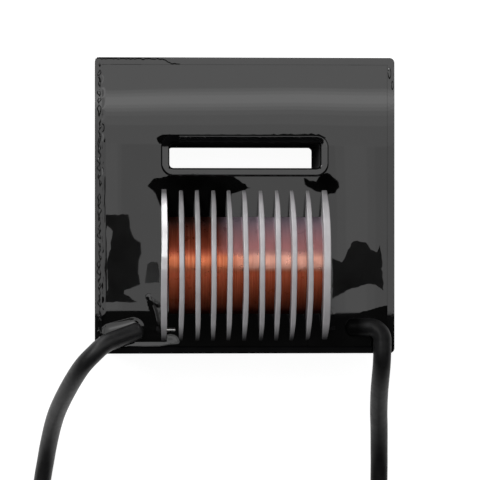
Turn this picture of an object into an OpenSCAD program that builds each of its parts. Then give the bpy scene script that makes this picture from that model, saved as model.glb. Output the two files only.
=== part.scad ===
// Potted high-voltage step-up transformer
// An open case filled with resin holds a gapped pair of core halves and a sectional bobbin.
// A window tube goes right through the case, for a primary that the user winds.
// It lies on its back: front face up, window at +Y, leads at -Y, millimetres.

/* [Case] */
// side wall thickness
wall_t = 1.4; // [1:0.1:2.4]
// floor thickness
floor_t = 1.6; // [1:0.1:3]
// outside radius of the upright corners
corner_r = 1; // [0.4:0.1:1.3]
// height of the rim above the bobbin axis
rim_over_axis = 7.2; // [6.8:0.1:12]

/* [Primary window] */
// clear height of the window
window_h = 5; // [4.2:0.1:8]
// wall of the window tube
window_wall = 1.7; // [1.2:0.1:2.2]
// radius of the clear window's corners
window_corner_r = 0.8; // [0.4:0.1:1.8]
// how far the mouth of the tube stands over the resin
lip_rise = 0.8; // [0.6:0.1:2]
// rounding of the mouth's edges
lip_r = 0.4; // [0.2:0.05:0.55]
// resin between the flanges and the window tube
window_gap = 1.8; // [0.6:0.1:6]
// resin between each end of the window tube and the core
window_side_clear = 0.2; // [0.1:0.05:2]

/* [Core] */
// diameter of the round core legs
leg_d = 10; // [8:0.5:11.5]
// thickness of each yoke
yoke_t = 10; // [9:0.5:14]
// how far a yoke stands out past its legs
yoke_margin = 0.3; // [0.1:0.1:0.9]
// thickness of the spacers in the core gap
core_gap = 0.3; // [0.1:0.05:1]
// resin between each yoke and the bobbin
yoke_clear = 0.35; // [0.2:0.05:1.2]
// resin between the window tube and the upper leg
leg_clear = 0.5; // [0.4:0.1:3]
// resin between the core and the upper wall
top_cover = 3.2; // [0.6:0.1:8]
// resin between the core and each side wall
side_cover = 1.6; // [1:0.1:8]

/* [Bobbin] */
// flange diameter
flange_d = 32; // [29:0.5:40]
// thickness of the two end flanges
end_flange_t = 1.4; // [1:0.1:2.4]
// thickness of the nine inner flanges
inner_flange_t = 1; // [0.6:0.1:1.6]
// bevel on both edges of the flange rims
rim_bevel = 0.2; // [0.1:0.05:0.28]
// clear width of one winding section
section_w = 2.15; // [1.6:0.05:3.2]
// wall of the hub
hub_wall = 1.2; // [0.8:0.1:2]
// clearance between the bore and the core leg
bore_clear = 0.25; // [0.1:0.05:0.5]
// clearance between the flanges and the case
flange_clear = 0.2; // [0.1:0.05:1]
// width of the wire notch in each inner flange
notch_w = 0.8; // [0.6:0.1:1.6]

/* [Winding] */
// outside diameter of the wound sections
winding_d = 22.2; // [18:0.2:26]
// thickness of the wires between the sections
wire_t = 0.3; // [0.1:0.05:0.5]

/* [Potting] */
// how far the resin lies under the rim
resin_drop = 0.8; // [0.4:0.1:1.1]
// width of the cove where the resin creeps up a wall
cove_w = 1; // [0.5:0.1:1.2]
// share of a wall's height over the resin that the cove climbs
cove_share = 0.55; // [0.3:0.05:0.8]

/* [Terminals] */
// diameter of the terminal pins
pin_d = 0.9; // [0.6:0.1:1.2]
// distance from the flange edge to a pin's centre
pin_inset = 1.7; // [1:0.1:2.4]
// depth of a pin's centre under the resin
pin_sink = 0.25; // [0.1:0.05:0.4]
// how far a pin stands out of the bobbin's end
pin_out = 1.3; // [1:0.1:1.5]
// diameter of a soldered joint
joint_d = 1.8; // [1.6:0.1:2]

/* [Leads] */
// outside diameter of the leads
lead_d = 3.6; // [3:0.1:4.2]
// diameter of the stranded conductor
strand_d = 1.2; // [0.8:0.1:1.4]
// stripped length at the far end
strip_l = 6; // [3:0.5:12]
// stripped length at the inner end
tail_l = 2.1; // [1.8:0.1:2.3]
// slope at which the leads leave the resin, degrees
lead_slope = 20; // [16:1:22]
// clearance between the leads and the rim
rim_clear = 0.3; // [0.2:0.1:1]
// potted length of the left lead
left_root_l = 7.2; // [7:0.1:7.6]
// straight potted length of the right lead
right_root_l = 5; // [4.7:0.1:5.3]

/* [Hidden] */
$fn = 96;
eps = 0.01;
section_n = 10;
lead_sides = 8;

// bobbin
flange_r = flange_d / 2;
bore_r = leg_d / 2 + bore_clear;
hub_r = bore_r + hub_wall;
winding_r = winding_d / 2;
pitch = section_w + inner_flange_t;
bobbin_l = 2 * end_flange_t + (section_n - 1) * inner_flange_t + section_n * section_w;
first_x = -bobbin_l / 2 + end_flange_t;
notch_r = hub_r + 0.2;

// core and case, sized outwards from the bobbin
yoke_in = bobbin_l / 2 + yoke_clear;
case_w = 2 * (yoke_in + yoke_t + side_cover + wall_t);
tube_h = window_h + 2 * window_wall;
leg_span = flange_r + window_gap + tube_h + leg_clear + leg_d / 2;
case_l = 2 * wall_t + flange_clear + flange_r + leg_span + leg_d / 2 + yoke_margin + top_cover;
cavity_w = case_w - 2 * wall_t;
cavity_l = case_l - 2 * wall_t;
axis_y = -cavity_l / 2 + flange_clear + flange_r;
axis_z = floor_t + flange_clear + flange_r;
upper_y = axis_y + leg_span;
case_h = axis_z + rim_over_axis;
resin_z = case_h - resin_drop;

// window tube
window_w = 2 * (yoke_in - window_side_clear - window_wall);
window_y = axis_y + flange_r + window_gap + tube_h / 2;

// terminals
pin_r = flange_r - pin_inset;
pin_z = resin_z - pin_sink;
pin_y = axis_y - sqrt(pow(pin_r, 2) - pow(pin_z - axis_z, 2));
pin_x = bobbin_l / 2 + pin_out;
pin_in_x = -first_x - 0.6 * section_w;
pin_dir = [0, pin_y - axis_y, pin_z - axis_z] / pin_r;

// leads: apex_z is the height of a lead's centre where it passes over the rim
apex_z = case_h + lead_d / 2 + rim_clear;
left_inset_y = 0.5;
left_rise = 0.15;
left_run = 9.1;
right_inset_x = 2.66;
right_inset_y = 2.8;
right_rise = 0.1;
left_dir = [cos(lead_slope) * cos(200), cos(lead_slope) * sin(200), sin(lead_slope)];
left_rim = [-cavity_w / 2, -cavity_l / 2 + left_inset_y, apex_z + left_rise];
left_start = left_rim - left_run * left_dir;
left_exit = left_start + left_root_l * left_dir;
bend_r = 0.72 * lead_d;
right_dir = [cos(lead_slope), 0, sin(lead_slope)];
right_out = [0, -cos(10), sin(10)];
bend_angle = acos(right_dir * right_out);
bend_side = unit(right_out - (right_dir * right_out) * right_dir);
bend_axis = cross(right_dir, bend_side);
bend_run = sin(bend_angle) * right_dir + (1 - cos(bend_angle)) * bend_side;
right_exit = [case_w / 2 - right_inset_x, -case_l / 2 + right_inset_y, apex_z + right_rise];
right_bend = right_exit - bend_r * bend_run;
right_start = right_bend - right_root_l * right_dir;

// free stretch of each lead: x and y from the lower corner of the case, then the share of the height
// between lying on the surface, 0, and passing over the rim, 1
left_route = [
    [1.4, 1.5, 1.004], [0, 0.2, 1.01], [-1.4, -1.2, 0.995], [-2.5, -2.5, 0.962], [-3.9, -4.6, 0.878],
    [-5.4, -7.2, 0.75], [-6.8, -9.9, 0.6], [-8, -12.6, 0.45], [-8.9, -15.3, 0.315], [-9.6, -18, 0.205],
    [-10.2, -20.7, 0.12], [-10.7, -23.4, 0.06], [-11.2, -26.1, 0.025], [-11.6, -28.9, 0.007],
    [-12, -33, 0], [-12.4, -38, 0], [-12.6, -44, 0], [-12.5, -50, 0], [-12.1, -56, 0],
    [-11.4, -62, 0], [-10.4, -68, 0], [-9.1, -74, 0], [-7.6, -80, 0], [-6, -85, 0]
];
right_route = [
    [-2.7, 1.2, 1.014], [-2.74, -0.6, 1.014], [-2.74, -2.5, 0.977], [-2.7, -5.1, 0.875],
    [-2.55, -7.7, 0.735], [-2.25, -10.4, 0.575], [-1.9, -13.1, 0.425], [-1.5, -15.8, 0.29],
    [-1.2, -18.6, 0.18], [-1, -21.3, 0.1], [-0.85, -23.9, 0.045], [-0.8, -26.5, 0.015],
    [-0.8, -29.5, 0.003], [-0.9, -34, 0], [-1.2, -40, 0], [-1.7, -46, 0], [-2.4, -52, 0],
    [-3.3, -58, 0], [-4.4, -64, 0], [-5.7, -70, 0], [-7.2, -76, 0], [-8.9, -82, 0], [-10.4, -87, 0]
];
left_path = concat([left_exit], [for (p = left_route) route_point(p, -case_w / 2)]);
right_path = concat([right_exit], [for (p = right_route) route_point(p, case_w / 2)]);
left_end = left_path[len(left_path) - 1];
right_end = right_path[len(right_path) - 1];
left_end_dir = unit(left_end - left_path[len(left_path) - 2]);
right_end_dir = unit(right_end - right_path[len(right_path) - 2]);

function unit(v) = v / norm(v);

function section_x(i) = first_x + i * pitch;

function route_point(p, corner_x) =
    [corner_x + p[0], -case_l / 2 + p[1], lead_d / 2 + p[2] * (apex_z - lead_d / 2)];

function route_dir(path, i, first, last) =
    i == 0 ? first : i == len(path) - 1 ? last : unit(path[i + 1] - path[i - 1]);

// points of one ring square to the route
function ring(c, t) =
    let (side = unit(cross([0, 0, 1], t)), up = cross(t, side))
    [for (k = [0 : lead_sides - 1])
        c + lead_d / 2 * (cos(360 * k / lead_sides) * side + sin(360 * k / lead_sides) * up)];

// plan and section shapes

module rounded_rect(w, l, r) {
    square([w - 2 * r, l], center = true);
    square([w, l - 2 * r], center = true);
    for (x = [-1, 1], y = [-1, 1]) {
        translate([x * (w / 2 - r), y * (l / 2 - r)]) circle(r = r);
    }
}

// hollow corner of resin against a wall: x is the distance from the wall, y the height over the resin
module cove(cove_h) {
    chord = norm([cove_w, cove_h]);
    arc_r = 1.5 * chord;
    arc_in = sqrt(pow(arc_r, 2) - pow(chord / 2, 2)) / chord;
    difference() {
        polygon([[0, -0.1], [cove_w, -0.1], [cove_w, 0], [0, cove_h]]);
        translate([cove_w / 2 + arc_in * cove_h, cove_h / 2 + arc_in * cove_w]) circle(r = arc_r);
    }
}

// wall of the window tube, with rounded edges at its mouth
module lip() {
    lip_z = resin_z + lip_rise;
    square([window_wall, lip_z - lip_r]);
    translate([lip_r, 0]) square([window_wall - 2 * lip_r, lip_z]);
    for (x = [lip_r, window_wall - lip_r]) {
        translate([x, lip_z - lip_r]) circle(r = lip_r);
    }
}

// takes a section round the clear window: x is the distance out from the clear edge
module round_window() {
    straight_w = window_w - 2 * window_corner_r;
    straight_h = window_h - 2 * window_corner_r;
    for (turn = [0, 180]) {
        translate([0, window_y, 0]) rotate([0, 0, turn]) {
            translate([window_w / 2, straight_h / 2, 0])
                rotate([90, 0, 0])
                    linear_extrude(straight_h) children();
            translate([-straight_w / 2, window_h / 2, 0])
                rotate([90, 0, 90])
                    linear_extrude(straight_w) children();
            translate([straight_w / 2, straight_h / 2, 0])
                rotate_extrude(angle = 90)
                    translate([window_corner_r, 0]) children();
            translate([-straight_w / 2, straight_h / 2, 0])
                rotate([0, 0, 90])
                    rotate_extrude(angle = 90)
                        translate([window_corner_r, 0]) children();
        }
    }
}

// takes a section round the inside of the walls: x is the distance in from the wall
module round_cavity() {
    for (turn = [0, 180]) {
        rotate([0, 0, turn]) {
            translate([cavity_w / 2, -cavity_l / 2, 0])
                rotate([90, 0, 180])
                    linear_extrude(cavity_l) children();
            translate([cavity_w / 2, cavity_l / 2, 0])
                rotate([90, 0, -90])
                    linear_extrude(cavity_w) children();
        }
    }
}

// solids shared by a piece and by what is cast round it

module x_bar(x, length, r) {
    translate([x, 0, 0]) rotate([0, 90, 0]) cylinder(h = length, r = r);
}

// straight round bar from a point along a direction
module bar(from, dir, length, d) {
    translate(from)
        rotate([0, acos(dir[2]), atan2(dir[1], dir[0])])
            cylinder(h = length, d = d);
}

module on_axis() {
    translate([0, axis_y, axis_z]) children();
}

module core_half() {
    yoke_l = leg_span + leg_d + 2 * yoke_margin;
    yoke_d = leg_d + 2 * yoke_margin;
    translate([yoke_in, axis_y + leg_span / 2, axis_z])
        rotate([90, 0, 90])
            linear_extrude(yoke_t) rounded_rect(yoke_l, yoke_d, leg_d / 2);
    for (y = [axis_y, upper_y]) {
        translate([0, y, axis_z]) x_bar(core_gap / 2, yoke_in - core_gap / 2 + 1, leg_d / 2);
    }
}

module gap_spacer(y) {
    translate([0, y, axis_z]) x_bar(-core_gap / 2, core_gap, leg_d / 2);
}

// disc with a bevelled rim, from x along the bobbin's axis
module flange(x, thickness) {
    flat_r = flange_r - rim_bevel;
    translate([x, 0, 0])
        rotate([0, 90, 0])
            rotate_extrude()
                polygon([
                    [0, 0], [flat_r, 0], [flange_r, rim_bevel], [flange_r, thickness - rim_bevel],
                    [flat_r, thickness], [0, thickness]
                ]);
}

module flanges() {
    flange(-bobbin_l / 2, end_flange_t);
    flange(bobbin_l / 2 - end_flange_t, end_flange_t);
    for (i = [0 : section_n - 2]) {
        flange(section_x(i) + section_w, inner_flange_t);
    }
}

module winding_ring(i) {
    on_axis() difference() {
        x_bar(section_x(i), section_w, winding_r);
        x_bar(section_x(i) - eps, section_w + 2 * eps, hub_r);
    }
}

module pin(side) {
    translate([0, pin_y, pin_z]) x_bar(side < 0 ? -pin_x : pin_in_x, pin_x - pin_in_x, pin_d / 2);
}

// straight line from inside an end section to its pin
module end_line(side) {
    wire_x = side * (-first_x - 0.3 * section_w);
    bar([wire_x, axis_y, axis_z] + (winding_r - 0.5) * pin_dir, pin_dir, pin_r - winding_r + 0.5, wire_t);
}

// wire from the outside of an end section to its pin
module end_wire(side) {
    difference() {
        end_line(side);
        on_axis() x_bar(-bobbin_l / 2, bobbin_l, winding_r);
        pin(side);
    }
}

module tail(start, dir) {
    bar(start - tail_l * dir, dir, tail_l, strand_d);
}

// ball of solder over the ends of a pin and of a lead's inner strands
module joint_ball(side, start, dir) {
    centre = ([side * pin_x, pin_y, pin_z] + start - tail_l * dir) / 2;
    translate(centre) rotate([0, 0, 90]) sphere(d = joint_d);
}

module joint(side, start, dir) {
    difference() {
        joint_ball(side, start, dir);
        tail(start, dir);
        pin(side);
    }
}

module left_root() {
    bar(left_start, left_dir, left_root_l, lead_d);
}

module right_root() {
    bar(right_start, right_dir, right_root_l, lead_d);
}

// the bend that turns the right lead towards the lower edge
module right_turn() {
    centre = right_bend + bend_r * bend_side;
    multmatrix([
        [-bend_side[0], right_dir[0], bend_axis[0], centre[0]],
        [-bend_side[1], right_dir[1], bend_axis[1], centre[1]],
        [-bend_side[2], right_dir[2], bend_axis[2], centre[2]],
        [0, 0, 0, 1]
    ])
        rotate_extrude(angle = bend_angle) translate([bend_r, 0]) circle(d = lead_d);
}

module free_lead(path, first, last) {
    n = lead_sides;
    m = len(path) - 1;
    points = [for (i = [0 : m]) each ring(path[i], route_dir(path, i, first, last))];
    sides = [for (i = [0 : m - 1], k = [0 : n - 1])
        [i * n + k, (i + 1) * n + k, (i + 1) * n + (k + 1) % n, i * n + (k + 1) % n]];
    first_cap = [for (k = [0 : n - 1]) k];
    last_cap = [for (k = [n - 1 : -1 : 0]) m * n + k];
    polyhedron(points, concat([first_cap], sides, [last_cap]));
}

// the pieces

module case() {
    color("#1c1c1e") {
        difference() {
            linear_extrude(case_h) rounded_rect(case_w, case_l, corner_r);
            translate([-cavity_w / 2, -cavity_l / 2, floor_t]) cube([cavity_w, cavity_l, case_h]);
            translate([0, window_y, -1])
                linear_extrude(floor_t + 2)
                    rounded_rect(window_w, window_h, window_corner_r);
        }
        round_window() lip();
    }
}

module potting() {
    color("#101012") {
        difference() {
            union() {
                translate([-cavity_w / 2, -cavity_l / 2, floor_t]) cube([cavity_w, cavity_l, resin_z - floor_t]);
                round_cavity() translate([0, resin_z]) cove(cove_share * resin_drop);
                round_window() translate([window_wall, resin_z]) cove(cove_share * (lip_rise - lip_r));
            }
            translate([0, window_y, 0])
                linear_extrude(case_h)
                    rounded_rect(window_w + 2 * window_wall, tube_h, window_corner_r + window_wall);
            core_half();
            mirror([1, 0, 0]) core_half();
            gap_spacer(upper_y);
            on_axis() x_bar(-bobbin_l / 2, bobbin_l, winding_r);
            on_axis() flanges();
            for (side = [-1, 1]) {
                pin(side);
                end_line(side);
            }
            left_root();
            tail(left_start, left_dir);
            joint_ball(-1, left_start, left_dir);
            right_root();
            right_turn();
            tail(right_start, right_dir);
            joint_ball(1, right_start, right_dir);
        }
    }
}

module core_half_left() {
    color("#3a3a3d") mirror([1, 0, 0]) core_half();
}

module core_half_right() {
    color("#3a3a3d") core_half();
}

module gap_spacer_upper() {
    color("#d8c9a0") gap_spacer(upper_y);
}

module gap_spacer_lower() {
    color("#d8c9a0") gap_spacer(axis_y);
}

module bobbin() {
    color("#ecebe6") {
        difference() {
            on_axis() difference() {
                union() {
                    x_bar(-bobbin_l / 2, bobbin_l, hub_r);
                    flanges();
                }
                x_bar(-bobbin_l / 2 - 1, bobbin_l + 2, bore_r);
                for (i = [0 : section_n - 2]) {
                    translate([section_x(i) + section_w, -notch_w / 2, -flange_r - 1])
                        cube([inner_flange_t, notch_w, flange_r + 1 - notch_r]);
                }
            }
            pin(-1);
            pin(1);
        }
    }
}

module winding(i) {
    color("#b5683c") winding_ring(i);
}

// each wire leaves one section at its outside and starts the next one at the hub
module crossover_wires() {
    out_r = winding_r - 0.2;
    in_r = notch_r + 0.2;
    color("#b5683c") {
        for (i = [0 : section_n - 2]) {
            from_x = section_x(i) + section_w;
            to_x = from_x + inner_flange_t;
            on_axis() rotate([90, 0, 0])
                linear_extrude(wire_t, center = true)
                    polygon([[from_x, -out_r], [to_x, -in_r - wire_t], [to_x, -in_r], [from_x, wire_t - out_r]]);
        }
        end_wire(-1);
        end_wire(1);
    }
}

module terminal_start() {
    color("#c9c9c6") pin(-1);
}

module terminal_finish() {
    color("#c9c9c6") pin(1);
}

module joint_start() {
    color("#b9bbbd") joint(-1, left_start, left_dir);
}

module joint_finish() {
    color("#b9bbbd") joint(1, right_start, right_dir);
}

module lead_left_root() {
    color("#2a2a2c") left_root();
}

module lead_left_tail() {
    color("#c9c9c6") tail(left_start, left_dir);
}

module lead_left() {
    color("#2a2a2c") free_lead(left_path, left_dir, left_end_dir);
}

module lead_left_tip() {
    color("#c9c9c6") bar(left_end, left_end_dir, strip_l, strand_d);
}

module lead_right_root() {
    color("#2a2a2c") right_root();
}

module lead_right_bend() {
    color("#2a2a2c") right_turn();
}

module lead_right_tail() {
    color("#c9c9c6") tail(right_start, right_dir);
}

module lead_right() {
    color("#2a2a2c") free_lead(right_path, right_out, right_end_dir);
}

module lead_right_tip() {
    color("#c9c9c6") bar(right_end, right_end_dir, strip_l, strand_d);
}

case();
potting();
core_half_left();
core_half_right();
gap_spacer_upper();
gap_spacer_lower();
bobbin();
winding(0);  // winding_01
winding(1);  // winding_02
winding(2);  // winding_03
winding(3);  // winding_04
winding(4);  // winding_05
winding(5);  // winding_06
winding(6);  // winding_07
winding(7);  // winding_08
winding(8);  // winding_09
winding(9);  // winding_10
crossover_wires();
terminal_start();
terminal_finish();
joint_start();
joint_finish();
lead_left_root();
lead_left_tail();
lead_left();
lead_left_tip();
lead_right_root();
lead_right_tail();
lead_right_bend();
lead_right();
lead_right_tip();
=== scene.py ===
"""A potted high-voltage transformer on its back, seen from above: window at +Y, leads at -Y."""
import math

import bpy
import numpy as np
from mathutils import Matrix, Vector


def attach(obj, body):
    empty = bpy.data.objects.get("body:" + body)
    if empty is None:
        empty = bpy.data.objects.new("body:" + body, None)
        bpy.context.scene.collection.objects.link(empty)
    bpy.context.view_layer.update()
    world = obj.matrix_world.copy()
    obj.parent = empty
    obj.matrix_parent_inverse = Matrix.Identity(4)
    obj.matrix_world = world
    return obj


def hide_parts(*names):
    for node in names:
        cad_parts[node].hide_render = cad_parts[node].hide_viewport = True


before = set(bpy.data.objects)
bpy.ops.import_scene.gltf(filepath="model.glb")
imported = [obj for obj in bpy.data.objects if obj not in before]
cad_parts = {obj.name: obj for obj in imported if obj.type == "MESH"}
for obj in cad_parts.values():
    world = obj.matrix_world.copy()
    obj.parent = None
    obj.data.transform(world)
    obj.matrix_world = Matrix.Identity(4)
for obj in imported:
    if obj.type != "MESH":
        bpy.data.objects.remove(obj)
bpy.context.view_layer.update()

MM = 0.001
SEED = 7

# sizes, millimetres: as in the solids, but for the resin, the flanges and the windings
CAVITY_W, CAVITY_L = 57.2, 56.4
CASE_W, CASE_L, RIM_Z, FLOOR_T = 60.0, 59.2, 25.0, 1.6
RESIN_Z = 24.6
AXIS_Y, AXIS_Z = -12.0, 17.8
FLANGE_R, HUB_R, BORE_R, WINDING_R = 16.15, 6.45, 5.25, 11.85
END_FLANGE_T, FLANGE_T, SECTION_W, SECTIONS = 1.4, 1.0, 2.15, 10
BOBBIN_L = 2 * END_FLANGE_T + (SECTIONS - 1) * FLANGE_T + SECTIONS * SECTION_W
FIRST_X = -BOBBIN_L / 2 + END_FLANGE_T
PITCH = SECTION_W + FLANGE_T
NOTCH_W, NOTCH_R = 0.8, HUB_R + 0.2
TUBE_W, TUBE_L, TUBE_WALL, WINDOW_Y = 33.6, 8.4, 1.7, 10.0
# start and thickness of each flange
FLANGES = (
    [(-BOBBIN_L / 2, END_FLANGE_T)]
    + [(FIRST_X + SECTION_W + i * PITCH, FLANGE_T) for i in range(SECTIONS - 1)]
    + [(BOBBIN_L / 2 - END_FLANGE_T, END_FLANGE_T)]
)
# how far the moulded flanges stand aslant at the rim
WARP = (-0.25, -0.18, -0.1, -0.08, -0.1, -0.13, 0.0, 0.0, -0.05, 0.0, 0.0)

# leads, metres
LEAD_D, STRIP_L, LEAD_SIDES = 0.0036, 0.006, 40
LEFT_START = Vector((-0.02056, -0.02478, 0.02414))
LEFT_EXIT = Vector((-0.02692, -0.02709, 0.02660))
RIGHT_START = Vector((0.02035, -0.02439, 0.02423))
RIGHT_BEND = Vector((0.02504, -0.02439, 0.02594))
RIGHT_EXIT = Vector((0.02734, -0.02680, 0.02720))
RIGHT_DIR = (RIGHT_BEND - RIGHT_START).normalized()
RIGHT_OUT = Vector((0.0, -math.cos(math.radians(10)), math.sin(math.radians(10))))
BEND_SIDE = Vector((-0.0559, -0.9866, 0.1536))
BEND_R, BEND_ANGLE = 0.002592, math.radians(86.6)
LEFT_ROUTE = [
    (-0.02860, -0.02810, 0.02720), (-0.03000, -0.02940, 0.02735), (-0.03140, -0.03080, 0.02697),
    (-0.03250, -0.03210, 0.02614), (-0.03390, -0.03420, 0.02401), (-0.03540, -0.03680, 0.02078),
    (-0.03680, -0.03950, 0.01698), (-0.03800, -0.04220, 0.01319), (-0.03890, -0.04490, 0.00977),
    (-0.03960, -0.04760, 0.00699), (-0.04020, -0.05030, 0.00484), (-0.04070, -0.05300, 0.00332),
    (-0.04120, -0.05570, 0.00243), (-0.04160, -0.05850, 0.00198), (-0.04200, -0.06260, 0.00180),
    (-0.04240, -0.06760, 0.00180), (-0.04260, -0.07360, 0.00180), (-0.04250, -0.07960, 0.00180),
    (-0.04210, -0.08560, 0.00180), (-0.04140, -0.09160, 0.00180), (-0.04040, -0.09760, 0.00180),
    (-0.03910, -0.10360, 0.00180), (-0.03760, -0.10960, 0.00180), (-0.03600, -0.11460, 0.00180),
]
RIGHT_ROUTE = [
    (0.02730, -0.02840, 0.02745), (0.02726, -0.03020, 0.02745), (0.02726, -0.03210, 0.02652),
    (0.02730, -0.03470, 0.02394), (0.02745, -0.03730, 0.02040), (0.02775, -0.04000, 0.01635),
    (0.02810, -0.04270, 0.01255), (0.02850, -0.04540, 0.00914), (0.02880, -0.04820, 0.00635),
    (0.02900, -0.05090, 0.00433), (0.02915, -0.05350, 0.00294), (0.02920, -0.05610, 0.00218),
    (0.02920, -0.05910, 0.00188), (0.02910, -0.06360, 0.00180), (0.02880, -0.06960, 0.00180),
    (0.02830, -0.07560, 0.00180), (0.02760, -0.08160, 0.00180), (0.02670, -0.08760, 0.00180),
    (0.02560, -0.09360, 0.00180), (0.02430, -0.09960, 0.00180), (0.02280, -0.10560, 0.00180),
    (0.02110, -0.11160, 0.00180), (0.01960, -0.11660, 0.00180),
]

# the camera looks nearly straight down on the front face; FIELD is the width it sees there, metres
EYE = Vector((-0.020, -0.007, 0.488))
AIM = Vector((-0.001, -0.0069, 0.025))
FIELD = 0.096
SENSOR = 36.0


# Camera

def facing(eye, aim, up):
    """Turn of a camera or lamp at eye that points at aim."""
    back = (eye - aim).normalized()
    right = up.cross(back).normalized()
    return Matrix((right, back.cross(right), back)).transposed().to_euler()


def add_camera():
    data = bpy.data.cameras.new("camera")
    data.sensor_width = SENSOR
    data.lens = SENSOR * (EYE - AIM).length / FIELD
    data.clip_start, data.clip_end = 0.01, 20.0
    camera = bpy.data.objects.new("camera", data)
    camera.location = EYE
    camera.rotation_euler = facing(EYE, AIM, Vector((0, 1, 0)))
    bpy.context.scene.collection.objects.link(camera)
    bpy.context.scene.camera = camera


# Helpers for materials

def add_node(tree, kind, inputs=None, **settings):
    """Adds a node; an input is a plain value or another node's output."""
    node = tree.nodes.new(kind)
    for key, value in settings.items():
        setattr(node, key, value)
    for key, value in (inputs or {}).items():
        if isinstance(value, bpy.types.NodeSocket):
            tree.links.new(value, node.inputs[key])
        else:
            node.inputs[key].default_value = value
    return node


def grain(tree, scale, detail=3.0, stretch=(1.0, 1.0, 1.0)):
    """Noise in the object's own coordinates, with scale in cycles per metre."""
    coords = add_node(tree, "ShaderNodeTexCoord").outputs["Object"]
    mapped = add_node(tree, "ShaderNodeMapping", {"Vector": coords, "Scale": stretch})
    noise = add_node(
        tree, "ShaderNodeTexNoise", {"Vector": mapped.outputs["Vector"], "Scale": scale, "Detail": detail}
    )
    return noise.outputs["Fac"]


def place(tree, axis):
    """Where a point is along an axis of the part, in metres."""
    coords = add_node(tree, "ShaderNodeTexCoord").outputs["Object"]
    return add_node(tree, "ShaderNodeSeparateXYZ", {"Vector": coords}).outputs[axis]


def along(tree, axis, low, high):
    """0 at low and 1 at high along an axis of the part, in metres."""
    return remap(tree, place(tree, axis), low, high, 0.0, 1.0)


def times(tree, *factors):
    """Product of values and outputs, the first an output."""
    product = factors[0]
    for factor in factors[1:]:
        product = add_node(tree, "ShaderNodeMath", {0: product, 1: factor}, operation="MULTIPLY").outputs[0]
    return product


def between(tree, axis, low, high, edge=0.0003):
    """1 between low and high along an axis of the part, in metres."""
    return times(tree, along(tree, axis, low, low + edge), along(tree, axis, high, high - edge))


def remap(tree, value, low, high, to_low, to_high):
    """Takes low to to_low and high to to_high, and stays between them."""
    node = add_node(
        tree,
        "ShaderNodeMapRange",
        {"Value": value, "From Min": low, "From Max": high, "To Min": to_low, "To Max": to_high},
    )
    return node.outputs["Result"]


def ramp(tree, value, *stops):
    """Colour ramp from (position, (r, g, b)) stops."""
    node = add_node(tree, "ShaderNodeValToRGB", {"Fac": value})
    elements = node.color_ramp.elements
    while len(elements) < len(stops):
        elements.new(0.5)
    for element, (position, colour) in zip(elements, stops):
        element.position = position
        element.color = (*colour, 1.0)
    return node.outputs["Color"]


def mix(tree, factor, first, second):
    """Colour between first, where factor is 0, and second, where it is 1."""
    node = add_node(tree, "ShaderNodeMix", data_type="RGBA")
    # a Mix node's colour sockets have the numbers 6 and 7, and 2 on its output side
    for number, value in ((0, factor), (6, first), (7, second)):
        if isinstance(value, bpy.types.NodeSocket):
            tree.links.new(value, node.inputs[number])
        else:
            node.inputs[number].default_value = (*value, 1.0)
    return node.outputs[2]


def bump(tree, value, distance, strength=0.5):
    node = add_node(tree, "ShaderNodeBump", {"Height": value, "Distance": distance, "Strength": strength})
    return node.outputs["Normal"]


def new_material(name, build, **plain):
    """A Principled material: plain values by input name, the rest linked by build(tree)."""
    material = bpy.data.materials.new(name)
    material.use_nodes = True
    tree = material.node_tree
    shader = tree.nodes["Principled BSDF"]
    for key, value in plain.items():
        shader.inputs[key.replace("_", " ")].default_value = value
    for key, output in build(tree).items():
        tree.links.new(output, shader.inputs[key])
    return material


# Materials

def resin_nodes(tree):
    return {
        "Base Color": ramp(
            tree, grain(tree, 160), (0.35, (0.001, 0.001, 0.001)), (0.7, (0.003, 0.003, 0.003))
        ),
        "Roughness": remap(tree, grain(tree, 90), 0.3, 0.7, 0.004, 0.016),
    }


def case_nodes(tree):
    walls = remap(tree, grain(tree, 400), 0.3, 0.7, 0.45, 0.6)
    rim = remap(tree, grain(tree, 400), 0.3, 0.7, 0.008, 0.02)
    wetted = along(tree, "Z", 0.02445, 0.02465)
    moulded = ramp(tree, grain(tree, 220), (0.3, (0.002, 0.002, 0.0022)), (0.75, (0.005, 0.005, 0.0054)))
    tube = times(tree, between(tree, "X", -0.0170, 0.0170), between(tree, "Y", 0.0056, 0.0144))
    bore = times(tree, tube, along(tree, "Z", 0.0247, 0.0245))
    lip = times(tree, tube, along(tree, "Z", 0.0245, 0.0247))
    near_wall = between(tree, "Y", -0.0286, -0.0279)
    sharp = 0.0001
    mouth = times(tree, between(tree, "X", -0.0153, 0.0153, sharp), between(tree, "Y", 0.0073, 0.0127, sharp))
    corner = times(tree, between(tree, "X", -0.0180, -0.0130), between(tree, "Y", 0.0116, 0.0150))
    gloss = remap(tree, lip, 0.0, 1.0, 0.5, 0.62)
    for dull in (bore, near_wall, mouth, corner):
        gloss = times(tree, remap(tree, dull, 0.0, 1.0, 1.0, 0.0), gloss)
    return {
        "Base Color": mix(tree, bore, moulded, (0.08, 0.08, 0.081)),
        "Roughness": remap(tree, wetted, 0.0, 1.0, walls, rim),
        "Specular IOR Level": gloss,
        "Normal": bump(tree, grain(tree, 1800, detail=2), 0.000002, 0.3),
    }


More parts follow.
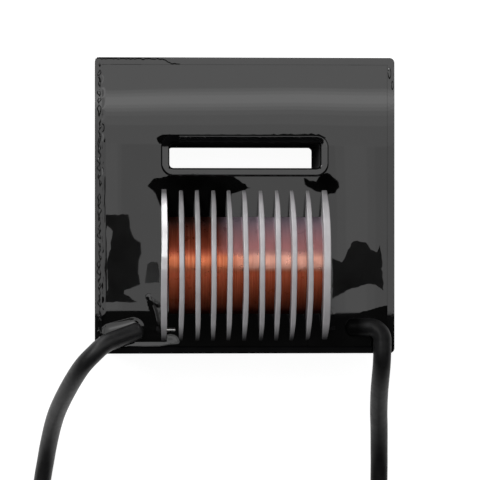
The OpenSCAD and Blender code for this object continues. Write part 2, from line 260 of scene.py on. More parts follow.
def bobbin_nodes(tree):
    cloud = ramp(tree, grain(tree, 300), (0.3, (0.60, 0.58, 0.60)), (0.7, (0.69, 0.67, 0.69)))
    # painted shade: the flanges darken just above the resin, along a noisy edge, and towards their near ends
    shade_edge_noise = remap(tree, grain(tree, 900), 0.35, 0.65, 0.0, 0.0010)
    level = add_node(tree, "ShaderNodeMath", {0: place(tree, "Z"), 1: shade_edge_noise}, operation="SUBTRACT").outputs[0]
    painted_shade = times(tree, remap(tree, level, 0.0226, 0.0256, 0.3, 1.0), along(tree, "Y", -0.0278, -0.0235))
    # painted shade: the far tips of the flanges are darker, and so is the upper half of the left flanges; the
    # first flange is spared both but for its very tip
    first = times(tree, along(tree, "X", -0.0148, -0.0152), along(tree, "Y", 0.0026, 0.0008))
    others = remap(tree, first, 0.0, 1.0, 1.0, 0.0)
    tip = times(tree, others, along(tree, "Y", -0.0030, 0.0026))
    left = times(tree, others, along(tree, "X", 0.001, -0.004), along(tree, "Y", -0.0095, -0.0040))
    painted_shade = times(tree, painted_shade, remap(tree, tip, 0.0, 1.0, 1.0, 0.4), remap(tree, left, 0.0, 1.0, 1.0, 0.65))
    return {
        "Base Color": mix(tree, painted_shade, (0.02, 0.02, 0.02), cloud),
        "Roughness": remap(tree, grain(tree, 700), 0.3, 0.7, 0.11, 0.16),
        "Specular IOR Level": remap(tree, along(tree, "Y", -0.0245, -0.0195), 0.0, 1.0, 0.05, 0.5),
        "Normal": bump(tree, grain(tree, 1500), 0.000002, 0.3),
    }


def copper_nodes(tree):
    turns = grain(tree, 60, detail=2, stretch=(60.0, 1.0, 1.0))
    wire = ramp(
        tree, turns, (0.3, (0.64, 0.145, 0.055)), (0.55, (0.85, 0.235, 0.10)), (0.75, (0.95, 0.34, 0.17))
    )
    # shaded and lit copies of the copper's tones, for painted shade and painted light
    shady = ramp(
        tree, turns, (0.3, (0.50, 0.07, 0.023)), (0.55, (0.66, 0.118, 0.043)), (0.75, (0.74, 0.17, 0.075))
    )
    painted_lit_tone = ramp(
        tree, turns, (0.3, (0.80, 0.13, 0.045)), (0.55, (0.95, 0.20, 0.08)), (0.75, (1.0, 0.29, 0.13))
    )
    # painted light and shade: the upper side of the turns takes a shaded tone with less metal, the lower side
    # a lit tone with less metal, and both ends fade to dark; on the right-hand sections a pale band is a
    # painted highlight, and a mauve to pink tone above it is a painted reflection of a lamp in a thin film of
    # resin
    upper = along(tree, "Y", -0.0104, -0.0092)
    lower = along(tree, "Y", -0.0124, -0.0136)
    painted_shade = times(tree, along(tree, "Y", -0.0032, -0.0092), along(tree, "Y", -0.0212, -0.0140))
    pale = times(tree, along(tree, "X", -0.004, 0.002), along(tree, "Y", -0.0132, -0.0124), 0.8)
    painted_reflection = times(tree, along(tree, "X", -0.006, -0.002), along(tree, "Y", -0.0102, -0.0085))
    turned = mix(tree, upper, mix(tree, lower, wire, painted_lit_tone), shady)
    enamel = mix(tree, painted_shade, (0.05, 0.010, 0.005), turned)
    film = mix(tree, along(tree, "Y", -0.0030, -0.0082), (0.45, 0.35, 0.42), (0.97, 0.42, 0.42))
    metal = times(tree, remap(tree, lower, 0.0, 1.0, 1.0, 0.13), remap(tree, upper, 0.0, 1.0, 1.0, 0.55))
    return {
        "Base Color": mix(tree, painted_reflection, mix(tree, pale, enamel, (0.98, 0.52, 0.41)), film),
        "Metallic": times(tree, remap(tree, painted_reflection, 0.0, 1.0, 0.75, 0.1), metal),
        "Specular IOR Level": remap(tree, along(tree, "Y", -0.0205, -0.0150), 0.0, 1.0, 0.02, 0.5),
        "Roughness": remap(tree, grain(tree, 500), 0.3, 0.7, 0.26, 0.34),
    }


def lead_nodes(tree):
    rubber = ramp(tree, grain(tree, 500), (0.3, (0.0085, 0.0085, 0.009)), (0.7, (0.015, 0.015, 0.0155)))
    wetted = times(tree, between(tree, "X", 0.0150, 0.0245, 0.0020), along(tree, "Y", -0.0276, -0.0268))
    shine = remap(tree, along(tree, "X", -0.010, 0.010), 0.0, 1.0, 0.45, 0.13)
    return {
        "Base Color": mix(tree, wetted, rubber, (0.003, 0.003, 0.003)),
        "Roughness": remap(tree, grain(tree, 900), 0.3, 0.7, 0.38, 0.5),
        "Specular IOR Level": times(tree, shine, remap(tree, wetted, 0.0, 1.0, 1.0, 0.2)),
        "Normal": bump(tree, grain(tree, 4000, detail=2), 0.00001, 0.35),
    }


def tin_nodes(tree):
    return {
        "Base Color": ramp(tree, grain(tree, 1500), (0.3, (0.55, 0.55, 0.54)), (0.7, (0.75, 0.75, 0.73))),
        "Roughness": remap(tree, grain(tree, 2500), 0.3, 0.7, 0.22, 0.42),
    }


def ferrite_nodes(tree):
    return {
        "Base Color": ramp(
            tree, grain(tree, 800), (0.3, (0.035, 0.035, 0.037)), (0.7, (0.065, 0.064, 0.066))
        ),
        "Roughness": remap(tree, grain(tree, 600), 0.3, 0.7, 0.5, 0.7),
        "Normal": bump(tree, grain(tree, 5000), 0.00002, 0.4),
    }


def spacer_nodes(tree):
    return {
        "Base Color": ramp(tree, grain(tree, 1200), (0.3, (0.50, 0.40, 0.24)), (0.7, (0.64, 0.54, 0.36))),
        "Roughness": remap(tree, grain(tree, 900), 0.3, 0.7, 0.6, 0.8),
    }


def make_materials():
    return {
        "resin": new_material("resin", resin_nodes, IOR=1.58),
        "case": new_material("case", case_nodes, IOR=1.58),
        "bobbin": new_material("bobbin", bobbin_nodes, IOR=1.5),
        "copper": new_material("copper", copper_nodes),
        "lead": new_material("lead", lead_nodes, IOR=1.42),
        "tin": new_material("tin", tin_nodes, Metallic=1.0),
        "ferrite": new_material("ferrite", ferrite_nodes),
        "spacer": new_material("spacer", spacer_nodes),
    }


# Helpers for pieces

def add_piece(name, data, slot, *replaced):
    """Links the piece, gives it its slot's material and rides it on the one body."""
    piece = bpy.data.objects.new(name, data)
    bpy.context.scene.collection.objects.link(piece)
    data.materials.append(MATERIALS[slot])
    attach(piece, "root")
    if replaced:
        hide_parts(*replaced)
    return piece


def make_mesh(name, points, faces, flat=()):
    """A smooth mesh from points in millimetres; flat holds the numbers of faces left flat."""
    mesh = bpy.data.meshes.new(name)
    mesh.from_pydata([tuple(float(c) * MM for c in p) for p in points], [], faces)
    smooth = np.ones(len(mesh.polygons), dtype=bool)
    smooth[list(flat)] = False
    mesh.polygons.foreach_set("use_smooth", smooth)
    mesh.update()
    return mesh


def join_shells(shells):
    """Joins (points, faces) shells into one pair."""
    points, faces = [], []
    for shell_points, shell_faces in shells:
        base = len(points)
        points += [tuple(p) for p in shell_points]
        faces += [tuple(base + i for i in f) for f in shell_faces]
    return points, faces


def smooth_path(points, before, steps=6):
    """Catmull-Rom curve through points, coming from the point before."""
    points = [Vector(p) for p in points]
    ends = [before, *points, 2 * points[-1] - points[-2]]
    path = []
    for a, b, c, d in zip(ends, ends[1:], ends[2:], ends[3:]):
        square, cube = 2 * a - 5 * b + 4 * c - d, 3 * b - a - 3 * c + d
        for k in range(steps):
            t = k / steps
            path.append(0.5 * (2 * b + (c - a) * t + square * t**2 + cube * t**3))
    return path + [points[-1]]


def tube_shell(path, radii, sides):
    """Closed tube round a path, one radius to a point, in the path's units."""
    ahead, behind = path[1:] + path[-1:], path[:1] + path[:-1]
    tangents = [(a - b).normalized() for a, b in zip(ahead, behind)]
    side = tangents[0].orthogonal().normalized()
    points, faces = [], []
    for p, t, r in zip(path, tangents, radii):
        side = (side - side.dot(t) * t).normalized()
        up = t.cross(side)
        for k in range(sides):
            a = 2 * math.pi * k / sides
            points.append(p + r * (math.cos(a) * side + math.sin(a) * up))
    for i in range(len(path) - 1):
        for k in range(sides):
            n = (k + 1) % sides
            faces.append((i * sides + k, i * sides + n, (i + 1) * sides + n, (i + 1) * sides + k))
    last = (len(path) - 1) * sides
    faces.append(tuple(reversed(range(sides))))
    faces.append(tuple(range(last, last + sides)))
    return points, faces


# Leads

def lead_tube(name, path, radii, *nodes):
    """A lead's insulation with flat ends."""
    points, faces = tube_shell([p / MM for p in path], [r / MM for r in radii], LEAD_SIDES)
    mesh = make_mesh(name, points, faces, flat=(len(faces) - 2, len(faces) - 1))
    return add_piece(name, mesh, "lead", *nodes)


def lead_root(name, path, lap, *nodes):
    """The potted end of a lead, with a rounded nose; the last lap points run on inside the free lead."""
    nose_l, narrowing, skin = 0.0011, 0.55, 0.00001
    radii, run = [], 0.0
    for i, p in enumerate(path):
        run += (p - path[i - 1]).length if i else 0.0
        nose = max(0.0, 1 - run / nose_l)
        sink = max(0, i - len(path) + 1 + lap) / lap
        radii.append(LEAD_D / 2 * (1 - narrowing * nose**2.2) + skin * (1 - 2 * sink))
    lead_tube(name, path, radii, *nodes)


def strand_tip(name, start, direction, node):
    """Tinned strands twisted round a middle one."""
    direction = direction.normalized()
    side = direction.orthogonal().normalized()
    up = direction.cross(side)
    wire_r, lay_r, turns = 0.0002, 0.0004, 0.7
    outer, steps, sides = 6, 24, 10
    shells = []
    for k in range(outer + 1):
        path = []
        for i in range(steps + 1):
            a = 2 * math.pi * (k / outer + turns * i / steps)
            offset = lay_r * (math.cos(a) * side + math.sin(a) * up) if k < outer else Vector()
            path.append((start + STRIP_L * i / steps * direction + offset) / MM)
        shells.append(tube_shell(path, [wire_r / MM] * len(path), sides))
    return add_piece(name, make_mesh(name, *join_shells(shells)), "tin", node)


def straight(a, b, step=0.00025):
    """Points from a to b, about a step apart."""
    count = max(2, math.ceil((b - a).length / step))
    return [a.lerp(b, i / count) for i in range(count + 1)]


def add_lead(side, exit_point, exit_dir, route):
    """One free lead with its stripped end; exit_dir is the way its root leaves the resin."""
    first = Vector(route[0])
    path = smooth_path([exit_point, *route], first - 2 * (first - exit_point).length * exit_dir)
    lead = lead_tube(f"{side}_lead", path, [LEAD_D / 2] * len(path), f"lead_{side}")
    tip = strand_tip(f"{side}_lead_strands", path[-1], path[-1] - path[-2], f"lead_{side}_tip")
    return path


def add_leads():
    lap, bend_steps = 3, 24
    left_path = add_lead("left", LEFT_EXIT, (LEFT_EXIT - LEFT_START).normalized(), LEFT_ROUTE)
    root_path = straight(LEFT_START, LEFT_EXIT) + left_path[1 : lap + 1]
    lead_root("left_lead_root", root_path, lap, "lead_left_root")
    right_path = add_lead("right", RIGHT_EXIT, RIGHT_OUT, RIGHT_ROUTE)
    centre = RIGHT_BEND + BEND_R * BEND_SIDE
    arc = []
    for i in range(1, bend_steps + 1):
        a = BEND_ANGLE * i / bend_steps
        arc.append(centre - BEND_R * math.cos(a) * BEND_SIDE + BEND_R * math.sin(a) * RIGHT_DIR)
    arc[-1] = RIGHT_EXIT
    root_path = straight(RIGHT_START, RIGHT_BEND) + arc + right_path[1 : lap + 1]
    lead_root("right_lead_root", root_path, lap, "lead_right_root", "lead_right_bend")


# Resin

RESIN_STEP, FILM_STEP = 0.22, 0.08
# a film of spilt resin: how far it dips into the rim, how high it stands, how deep its underside lies
FILM_SINK, FILM_TOP, FILM_DEPTH = 0.02, 0.09, 0.4
# strings and smears left where the leads were potted: points, half width, height
RIDGES = [
    ([(-26.8, -26.0), (-22.4, -24.9)], 2.4, 0.12),
    ([(-23.6, -28.3), (-17.0, -28.2), (-14.9, -27.8)], 1.9, 0.24),
    ([(-18.8, -19.0), (-18.0, -21.4), (-17.6, -23.4)], 0.6, 0.12),
    ([(-19.2, -18.2), (-18.4, -19.2), (-17.4, -19.8)], 0.45, 0.10),
    ([(16.9, -21.0), (17.3, -21.8), (17.0, -22.4)], 0.5, 0.2),
]
# resin drawn up over the soldered joints: ends of the crest
HEAPS = [((-20.9, -24.8), (-17.7, -24.9)), ((17.7, -24.95), (20.9, -24.4))]
# how far the resin lies lower between the flanges and along the near edge
DIP = 0.6


def waves(x, y, shortest, longest, count, rng):
    """Smooth unevenness, between about -1 and 1."""
    total = np.zeros_like(x)
    for _ in range(count):
        turn = rng.uniform(0, 2 * math.pi)
        length = rng.uniform(shortest, longest)
        phase = rng.uniform(0, 2 * math.pi)
        total += np.sin(2 * math.pi * (x * math.cos(turn) + y * math.sin(turn)) / length + phase)
    return total / math.sqrt(count)


def fade(value, low, high):
    """0 at low and 1 at high, smooth at both."""
    t = np.clip((value - low) / (high - low), 0, 1)
    return t * t * (3 - 2 * t)


def creep(distance, rise, reach):
    """Rise of the resin at a distance from what it wets."""
    return rise * np.clip(1 - distance / reach, 0, 1) ** 2


def line_distance(x, y, points):
    """Distance to the nearest stretch of a line through points."""
    best = np.full_like(x, 1e9)
    for (ax, ay), (bx, by) in zip(points, points[1:]):
        dx, dy = bx - ax, by - ay
        t = np.clip(((x - ax) * dx + (y - ay) * dy) / (dx * dx + dy * dy), 0, 1)
        best = np.minimum(best, np.hypot(x - ax - t * dx, y - ay - t * dy))
    return best


def resin_height(x, y):
    """Height of the resin: nearly flat, wetting the left wall, with ridges and dips."""
    rng = np.random.default_rng(SEED)
    z = RESIN_Z + 0.005 * waves(x, y, 18, 45, 6, rng)
    uneven = 1 + 0.5 * waves(x, y, 2.5, 8, 7, rng)
    z += creep(CAVITY_W / 2 + x, 0.06, 0.7) * uneven
    for points, half, rise in RIDGES:
        z += rise * np.clip(1 - (line_distance(x, y, points) / half) ** 2, 0, 1) ** 2
    # a slant towards the right lead, wider near the wall
    slant_end, slant_w, slant = -21.6, 1.3 * fade(x, 23.0, 28.8), 0.035
    z -= slant * np.clip(slant_end + slant_w - y, 0.0, slant_w)
    sections = fade(y, -22.3, -25.0) * fade(x, -16.5, -15.4)
    edge = fade(y, -26.2, -27.3)
    return z - DIP * np.maximum(sections, edge) * fade(x, 13.0, 12.2)


def resin_grid():
    """Block with an uneven top and a slot for the window tube: points, faces and flat faces."""
    # the block reaches into the case's walls, and its slot lies in the middle of the tube's wall
    over, wall_half = 0.3, TUBE_WALL / 2
    xs = np.linspace(-CAVITY_W / 2 - over, CAVITY_W / 2 + over, round(CAVITY_W / RESIN_STEP))
    ys = np.linspace(-CAVITY_L / 2 - over, CAVITY_L / 2 + over, round(CAVITY_L / RESIN_STEP))
    i0, i1 = (int(np.argmin(np.abs(xs - s * (TUBE_W / 2 - wall_half)))) for s in (-1, 1))
    j0, j1 = (int(np.argmin(np.abs(ys - WINDOW_Y - s * (TUBE_L / 2 - wall_half)))) for s in (-1, 1))
    nx, ny = len(xs), len(ys)
    gx, gy = np.meshgrid(xs, ys)
    gz = resin_height(gx, gy)
    points = [tuple(p) for p in np.stack([gx, gy, gz], axis=-1).reshape(-1, 3)]
    faces = []
    for j in range(ny - 1):
        for i in range(nx - 1):
            if not (i0 <= i < i1 and j0 <= j < j1):
                a = j * nx + i
                faces.append((a, a + 1, a + nx + 1, a + nx))
    tops = len(faces)
    lower = {}

    def under(i, j):
        if (i, j) not in lower:
            lower[i, j] = len(points)
            points.append((xs[i], ys[j], FLOOR_T))
        return lower[i, j]

    def loop(left, right, low, high):
        ring = [(i, low) for i in range(left, right)] + [(right, j) for j in range(low, high)]
        return ring + [(i, high) for i in range(right, left, -1)] + [(left, j) for j in range(high, low, -1)]

    outer = loop(0, nx - 1, 0, ny - 1)
    hole = loop(i0, i1, j0, j1)[::-1]
    for ring in (outer, hole):
        for (i, j), (k, m) in zip(ring, ring[1:] + ring[:1]):
            faces.append((under(i, j), under(k, m), m * nx + k, j * nx + i))
    left = [(0, j) for j in range(ny)] + [(i, ny - 1) for i in range(1, i0 + 1)]
    left += [(i0, j) for j in range(j1, j0 - 1, -1)] + [(i, 0) for i in range(i0, 0, -1)]
    right = [(nx - 1, j) for j in range(ny - 1, -1, -1)] + [(i, 0) for i in range(nx - 2, i1 - 1, -1)]
    right += [(i1, j) for j in range(j0, j1 + 1)] + [(i, ny - 1) for i in range(i1, nx - 1)]
    near = [(i, j0) for i in range(i0, i1 + 1)] + [(i, 0) for i in range(i1, i0 - 1, -1)]
    far = [(i, ny - 1) for i in range(i0, i1 + 1)] + [(i, j1) for i in range(i1, i0 - 1, -1)]
    for ring in (left, right, near, far):
        faces.append(tuple(under(i, j) for i, j in ring))
    return points, faces, range(tops, len(faces))


def film_shell(x0, x1, y0, y1, height):
    """Strip of spilt resin sunk in the rim, standing out of it where height(x, y) is over 0."""
    xs = np.linspace(x0, x1, round((x1 - x0) / FILM_STEP))
    ys = np.linspace(y0, y1, round((y1 - y0) / FILM_STEP))
    gx, gy = np.meshgrid(xs, ys)
    gz = RIM_Z + np.clip(height(gx, gy), -FILM_SINK, FILM_TOP)
    nx, ny = len(xs), len(ys)
    top = [tuple(p) for p in np.stack([gx, gy, gz], axis=-1).reshape(-1, 3)]
    points = top + [(x, y, RIM_Z - FILM_DEPTH) for x, y, _ in top]
    faces, base = [], nx * ny
    for j in range(ny - 1):
        for i in range(nx - 1):
            a = j * nx + i
            faces.append((a, a + 1, a + nx + 1, a + nx))
            faces.append((base + a, base + a + nx, base + a + nx + 1, base + a + 1))
    ring = list(range(nx - 1)) + [j * nx + nx - 1 for j in range(ny - 1)]
    ring += [nx * ny - 1 - i for i in range(nx - 1)] + [j * nx for j in range(ny - 1, 0, -1)]
    for a, b in zip(ring, ring[1:] + ring[:1]):
        faces.append((base + a, base + b, b, a))
    return points, faces


def heap_shell(a, b):
    """A sharp crest from a to b that falls away all round."""
    rise, half, sink, sides = 0.5, 0.75, 0.3, 8
    a, b = Vector(a), Vector(b)
    turn = math.atan2(b.y - a.y, b.x - a.x) - math.pi / 2
    points = [(*a, RESIN_Z + rise), (*b, RESIN_Z + rise)]
    reach = half * (rise + sink) / rise
    for centre, first in ((b, turn), (a, turn + math.pi)):
        for k in range(sides + 1):
            angle = first + math.pi * k / sides
            x, y = centre.x + reach * math.cos(angle), centre.y + reach * math.sin(angle)
            points.append((x, y, RESIN_Z - sink))
    count = len(points)
    ring = list(range(2, count))
    faces = [tuple(reversed(ring))]
    for i, n in zip(ring, ring[1:] + ring[:1]):
        first, last = (1 if k < 3 + sides else 0 for k in (i, n))
        faces.append((i, n, last) if first == last else (i, n, last, first))
    return points, faces


def add_overflow():
    """Films of resin on the rim: ragged along the left and the top, two drops on the right."""
    rng = np.random.default_rng(SEED + 1)
    half_w, half_l = CASE_W / 2, CASE_L / 2

    def left_height(x, y):
        outer = half_w - 0.7 + 0.25 * waves(y, y * 0, 1.0, 3, 6, rng)
        inner = half_w - 1.2 + 0.2 * waves(y, y * 0, 1.0, 3, 6, rng)
        return 0.44 * np.minimum(outer + x, -inner - x) - FILM_SINK

    def top_height(x, y):
        edge = half_l - 0.2 + 0.09 * waves(x, x * 0, 0.6, 2.5, 8, rng) - fade(x, -17, -14)
        return np.minimum(0.23 * (edge - y), 0.06)

    def right_height(x, y):
        hook = 1 - np.hypot((x - half_w + 1.0) / 0.35, (y - 26.5) / 1.2)
        drop = 1 - np.hypot((x - half_w + 0.4) / 0.25, (y - 24.1) / 1.0)
        return 0.33 * np.maximum(hook, drop) - FILM_SINK

    shells = [
        film_shell(-half_w + 0.1, -CAVITY_W / 2 + 0.02, -half_l + 0.3, half_l - 0.3, left_height),
        film_shell(-half_w + 0.4, -13, CAVITY_L / 2 - 0.02, half_l - 0.05, top_height),
        film_shell(CAVITY_W / 2 - 0.02, half_w - 0.1, 22, 28, right_height),
    ]
    points, faces = join_shells(shells)
    add_piece("resin_overflow", make_mesh("resin_overflow", points, faces, range(len(faces))), "resin")


def add_resin():
    points, faces, flat = resin_grid()
    add_piece("resin", make_mesh("resin", points, faces, flat), "resin", "potting")
    add_overflow()
    points, faces = join_shells([heap_shell(a, b) for a, b in HEAPS])
    add_piece("resin_heaps", make_mesh("resin_heaps", points, faces, range(len(faces))), "resin")


# Bobbin and windings

BOBBIN_SEGMENTS, WINDING_SEGMENTS = 240, 144
# the flanges' rims bulge at two angles, radians, and wave a little
FAR_BULGE, FAR_ANGLE = 0.4, 1.19
NEAR_BULGE, NEAR_ANGLE = 0.2, 5.10
HUMP_WIDTH, RIM_WAVE = 0.31, 0.03


def lathe(profile, segments, shape):
    """Closed ring of a closed (x, radius) profile round the bobbin's axis.

    shape(x, r, angle) adjusts a point; the angle is 0 at the top and grows towards the window.
    """
    points, faces, count = [], [], len(profile)
    for k in range(segments):
        angle = 2 * math.pi * k / segments
        for x, r in profile:
            px, pr = shape(x, r, angle)
            points.append((px, AXIS_Y + pr * math.sin(angle), AXIS_Z + pr * math.cos(angle)))
    for k in range(segments):
        m = (k + 1) % segments
        for i in range(count):
            n = (i + 1) % count
            faces.append((k * count + i, k * count + n, m * count + n, m * count + i))
    return points, faces


def flange_profile(start, thickness):
    """Up one face of a flange, round its rim and down the other face; the first has sharper edges."""
    round_r = 0.1 if start < FIRST_X - END_FLANGE_T / 2 else 0.25
    hold, rim_depth, steps = 0.05, 1.5, 4
    end = start + thickness
    corner = []
    for i in range(steps + 1):
        a = math.pi / 2 * i / steps
        corner.append((round_r * (1 - math.cos(a)), FLANGE_R - round_r * (1 - math.sin(a))))
    profile = [(start, HUB_R), (start, FLANGE_R - rim_depth)]
    profile += [(start + inset, r) for inset, r in corner]
    profile += [(start + round_r + hold, FLANGE_R), (end - round_r - hold, FLANGE_R)]
    profile += [(end - inset, r) for inset, r in reversed(corner)]
    return profile + [(end, FLANGE_R - rim_depth), (end, HUB_R)]


def hump(angle, middle):
    """1 at the middle angle, falling off on both sides."""
    return math.exp(-(((angle - middle) / HUMP_WIDTH) ** 2))


def rim_lean(flange, x, angle):
    """How far a rim's point moves along the axis: waves, the flange's slant and thinner tips."""
    start, thickness = FLANGES[flange]
    lean = 0.05 * math.sin(2 * angle + 1.7 * flange) + 0.03 * math.sin(5 * angle + 3.1 * flange)
    from_top = min(angle, 2 * math.pi - angle)
    thinning = (0.12 if flange == 0 else 0.0) + 0.2 * float(fade(from_top, 0.75, 1.15))
    return lean + WARP[flange] - thinning * (x - start - thickness / 2)


def rim_rise(flange, x, angle):
    """How far a rim's point moves outwards: a wave and bulges far and near; the first is bevelled."""
    rise = FAR_BULGE * hump(angle, FAR_ANGLE) + NEAR_BULGE * hump(angle, NEAR_ANGLE)
    if flange == 0:
        bevel = 0.25 * max(0.0, FIRST_X - x)
        rise -= bevel * float(fade(angle, 0.0, 0.15) * fade(angle, 1.05, 0.92))
        rise += 0.2 * float(fade(angle, 0.72, 0.98))
    return rise + RIM_WAVE * math.sin(3 * angle + 2.3 * flange) - RIM_WAVE


def add_bobbin():
    profile = []
    for start, thickness in FLANGES:
        profile += flange_profile(start, thickness)
    profile += [(BOBBIN_L / 2, BORE_R), (-BOBBIN_L / 2, BORE_R)]
    notch_half = NOTCH_W / 2 / FLANGE_R

    def shape(x, r, angle):
        inner = abs(x) < BOBBIN_L / 2 - END_FLANGE_T
        if inner and r > NOTCH_R and abs(angle - math.pi) < notch_half:
            return x, NOTCH_R
        if r <= HUB_R:
            return x, r
        flange = round((x - FIRST_X) / PITCH)
        return x + rim_lean(flange, x, angle), r + rim_rise(flange, x, angle)

    points, faces = lathe(profile, BOBBIN_SEGMENTS, shape)
    add_piece("bobbin_moulding", make_mesh("bobbin_moulding", points, faces), "bobbin", "bobbin")


def add_windings():
    rng = np.random.default_rng(SEED + 2)
    turns, samples, crown, crest = 11, 5, 0.3, 0.94
    loose, wave = 0.008, 0.03
    lay, bottom = SECTION_W / turns, HUB_R + 0.02
    for section in range(SECTIONS):
        start = FIRST_X + section * PITCH
        profile = [(start, bottom)]
        for turn in range(turns):
            level = WINDING_R - abs(rng.normal(0, loose))
            for s in range(samples):
                u = crest * (2 * s / (samples - 1) - 1)
                round_off = lay / 2 / crown * (math.sqrt(1 - (crown * u) ** 2) - 1)
                profile.append((start + lay * (turn + 0.5 + u / 2), level + round_off))
        profile.append((start + SECTION_W, bottom))
        phase = rng.uniform(0, 6.28)

        def shape(x, r, angle):
            if r == bottom:
                return x, r
            inside = math.sin(math.pi * (x - start) / SECTION_W)
            wander = wave * inside * math.sin(3 * angle + phase + 2.0 * x)
            return x + wander, r + wave * math.sin(2 * angle + phase)

        name = f"winding_turns_{section + 1:02d}"
        points, faces = lathe(profile, WINDING_SEGMENTS, shape)
        add_piece(name, make_mesh(name, points, faces), "copper", f"winding_{section + 1:02d}")


# Solids that stay as they are

SLOT_NODES = {
    "case": ["case"],
    "ferrite": ["core_half_left", "core_half_right"],
    "spacer": ["gap_spacer_upper", "gap_spacer_lower"],
    "copper": ["crossover_wires"],
    "tin": [
        "terminal_start", "terminal_finish", "joint_start", "joint_finish",
        "lead_left_tail", "lead_right_tail",
    ],
}


def dress_solids():
    for slot, names in SLOT_NODES.items():
        for name in names:
            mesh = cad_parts[name].data
            mesh.materials.clear()
            mesh.materials.append(MATERIALS[slot])


# Stage and light

CARD_Z = 0.5
# dark cards beside the lens, as outlines on the resin where they are mirrored, millimetres
CARDS = {
    "card_lip": [
        (-16.6, 12.2), (-17.2, 13.4), (-16.0, 14.1), (0.0, 14.1), (14.8, 14.3), (16.2, 13.6), (15.5, 12.2),
    ],
    "card_left": [
        (-28.2, -1.4), (-23.2, -1.5), (-22.6, -4.9), (-21.9, -6.4), (-20.6, -7.2), (-20.5, -9.5),
        (-21.1, -11.2), (-21.3, -13.8), (-20.9, -16.3), (-22.5, -16.9), (-24.2, -17.5), (-24.3, -18.2),
        (-21.5, -19.8), (-28.1, -19.9), (-27.6, -17.2), (-27.8, -11.4), (-27.0, -8.0), (-26.6, -4.9),
        (-28.1, -3.4),
    ],
    "card_small": [
        (-19.3, -11.9), (-18.4, -11.3), (-17.3, -11.4), (-16.9, -13.6), (-17.0, -15.9), (-19.9, -15.9),
        (-19.6, -14.0),
    ],
    "card_middle": [
        (-19.1, 3.9), (-17.8, 5.3), (-14.0, 6.0), (-2.6, 5.9), (-0.7, 4.4), (1.0, 3.4), (-2.8, 2.4),
        (-3.2, -3.0), (-15.4, -3.0), (-17.4, 2.4),
    ],
    "card_right_upper": [
        (11.6, 5.3), (14.0, 4.6), (14.5, 5.5), (16.2, 6.5), (18.4, 4.8), (18.6, 3.6), (17.7, 2.3),
        (16.0, 2.0), (13.5, 2.9), (11.8, 4.0),
    ],
    "card_right": [
        (17.2, -10.5), (19.1, -11.4), (20.1, -9.5), (21.1, -7.5), (22.3, -7.1), (24.2, -7.5), (25.2, -8.9),
        (26.6, -9.5), (27.2, -8.0), (27.8, -11.4), (28.0, -17.2), (26.4, -16.0), (24.5, -15.8),
        (20.1, -17.1), (17.2, -18.8),
    ],
}
CARD_SHADES = {"card_left": 0.25, "card_right": 0.3, "card_small": 0.9}
CARD_BLACK = 0.01


def mirrored(x, y):
    """Where the card's plane is seen in the resin at x, y."""
    share = (CARD_Z / MM - RESIN_Z) / (EYE.z / MM - RESIN_Z)
    return (x + share * (x - EYE.x / MM), y + share * (y - EYE.y / MM), CARD_Z / MM)


def ragged(outline, rng):
    """The outline cut finer and torn a little, in millimetres on the resin."""
    step, tear = 0.7, 0.09
    torn = []
    for (ax, ay), (bx, by) in zip(outline, outline[1:] + outline[:1]):
        count = max(1, round(math.hypot(bx - ax, by - ay) / step))
        for k in range(count):
            tear_x, tear_y = rng.normal(0, tear, 2) if k else (0.0, 0.0)
            torn.append((ax + (bx - ax) * k / count + tear_x, ay + (by - ay) * k / count + tear_y))
    return torn


def card_material(name, shade):
    def nodes(tree):
        tones = [(stop, (share * shade,) * 3) for stop, share in ((0.3, 0.6), (0.7, 1.3))]
        return {"Base Color": ramp(tree, grain(tree, 60), *tones)}

    return new_material(name, nodes, Roughness=1.0, Specular_IOR_Level=0.0)


def add_cards():
    rng = np.random.default_rng(SEED + 3)
    for name, outline in CARDS.items():
        points = [mirrored(x, y) for x, y in ragged(outline, rng)]
        mesh = make_mesh(name, points, [tuple(range(len(points)))])
        mesh.materials.append(card_material(name, CARD_SHADES.get(name, CARD_BLACK)))
        card = bpy.data.objects.new(name, mesh)
        card.visible_camera = False
        bpy.context.scene.collection.objects.link(card)


def add_floor():
    """A round floor that is white to the camera and in reflections, and lights the part as a pale one."""
    radius, sides = 4.0 / MM, 64
    angles = [2 * math.pi * k / sides for k in range(sides)]
    ring = [(radius * math.cos(a), radius * math.sin(a), 0) for a in angles]
    mesh = make_mesh("floor", ring, [tuple(range(sides))])
    material = bpy.data.materials.new("floor")
    material.use_nodes = True
    tree = material.node_tree
    tree.nodes.clear()
    path = add_node(tree, "ShaderNodeLightPath").outputs
    seen = path["Is Camera Ray"]
    for ray in ("Is Glossy Ray", "Is Transmission Ray"):
        seen = add_node(tree, "ShaderNodeMath", {0: seen, 1: path[ray]}, operation="MAXIMUM").outputs[0]
    shade = add_node(tree, "ShaderNodeBsdfDiffuse", {"Color": (0.82, 0.82, 0.82, 1)})
    soft_shade = add_node(tree, "ShaderNodeBsdfDiffuse", {"Color": (0.3, 0.3, 0.3, 1)})
    glow = add_node(tree, "ShaderNodeEmission", {"Color": (1, 1, 1, 1), "Strength": 0.95})
    pale = add_node(tree, "ShaderNodeAddShader", {0: glow.outputs[0], 1: soft_shade.outputs[0]})
    both = add_node(tree, "ShaderNodeMixShader", {0: seen, 1: shade.outputs[0], 2: pale.outputs[0]})
    add_node(tree, "ShaderNodeOutputMaterial", {"Surface": both.outputs[0]})
    mesh.materials.append(material)
    floor = bpy.data.objects.new("floor", mesh)
    bpy.context.scene.collection.objects.link(floor)


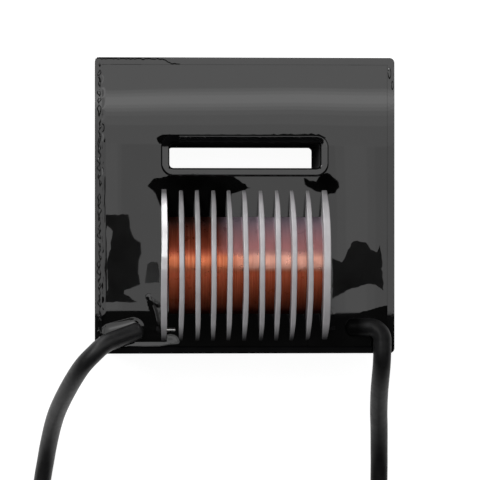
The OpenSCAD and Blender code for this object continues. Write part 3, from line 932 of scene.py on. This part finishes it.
# lights that point straight down: name, centre, width, length, radiance
OVERHEAD = [
    ("softbox", (0.0, 0.224, 0.95), 1.5, 0.55, 1.17),
    ("far_wide", (0.04, 0.150, 0.946), 0.5, 0.200, 0.15),
    ("far_middle", (0.04, 0.156, 0.945), 0.5, 0.188, 0.15),
    ("far_narrow", (0.04, 0.159, 0.944), 0.5, 0.182, 0.15),
    ("left_wide", (-0.0405, 0.0, 0.943), 0.013, 0.10, 0.09),
    ("left_narrow", (-0.0405, 0.0, 0.942), 0.008, 0.10, 0.09),
    ("right_wide", (0.1055, 0.0, 0.943), 0.025, 0.10, 0.09),
    ("right_narrow", (0.1055, 0.0, 0.942), 0.014, 0.10, 0.09),
    ("streak_wide", (0.0, 0.077, 0.94), 1.3, 0.013, 0.32),
    ("streak_middle", (0.0, 0.077, 0.939), 1.3, 0.009, 0.32),
    ("streak_narrow", (0.0, 0.077, 0.938), 1.3, 0.005, 0.32),
]
# lights that are aimed: name, centre, point aimed at, way of the length, width, length, radiance
AIMED = [
    ("strip_high", (-0.463, 0.437, 0.739), (-0.016, -0.005, 0.032), (0.065, 0.864, -0.498), 0.1, 0.65, 15.0),
    ("strip_low", (-0.395, 0.826, 0.276), (-0.016, -0.005, 0.032), (0.145, 0.338, -0.93), 0.1, 0.55, 15.0),
    ("right_fill", (1.1, 0.5, 0.6), (0.0, 0.3, 0.0), (0, 1, 0), 0.8, 1.0, 0.5),
]
WORLD_LEVEL = 0.03


def add_light(name, centre, aim, up, width, length, radiance):
    light = bpy.data.lights.new(name, "AREA")
    light.shape = "RECTANGLE"
    light.size, light.size_y = width, length
    light.energy = radiance * math.pi * width * length
    lamp = bpy.data.objects.new(name, light)
    lamp.location = centre
    lamp.rotation_euler = facing(Vector(centre), Vector(aim), Vector(up))
    lamp.visible_camera = False
    bpy.context.scene.collection.objects.link(lamp)


def add_lights():
    for name, (x, y, z), *panel in OVERHEAD:
        add_light(name, (x, y, z), (x, y, 0.0), (0, 1, 0), *panel)
    for panel in AIMED:
        add_light(*panel)


def set_room():
    """Faint even light from all round, and plain colours in the picture."""
    world = bpy.data.worlds.new("room")
    world.use_nodes = True
    background = world.node_tree.nodes["Background"]
    background.inputs["Color"].default_value = (1.0, 1.0, 1.0, 1.0)
    background.inputs["Strength"].default_value = WORLD_LEVEL
    bpy.context.scene.world = world
    bpy.context.scene.view_settings.view_transform = "Standard"


add_camera()
MATERIALS = make_materials()
add_leads()
add_resin()
add_bobbin()
add_windings()
dress_solids()
add_floor()
add_cards()
add_lights()
set_room()

bpy.context.view_layer.update()
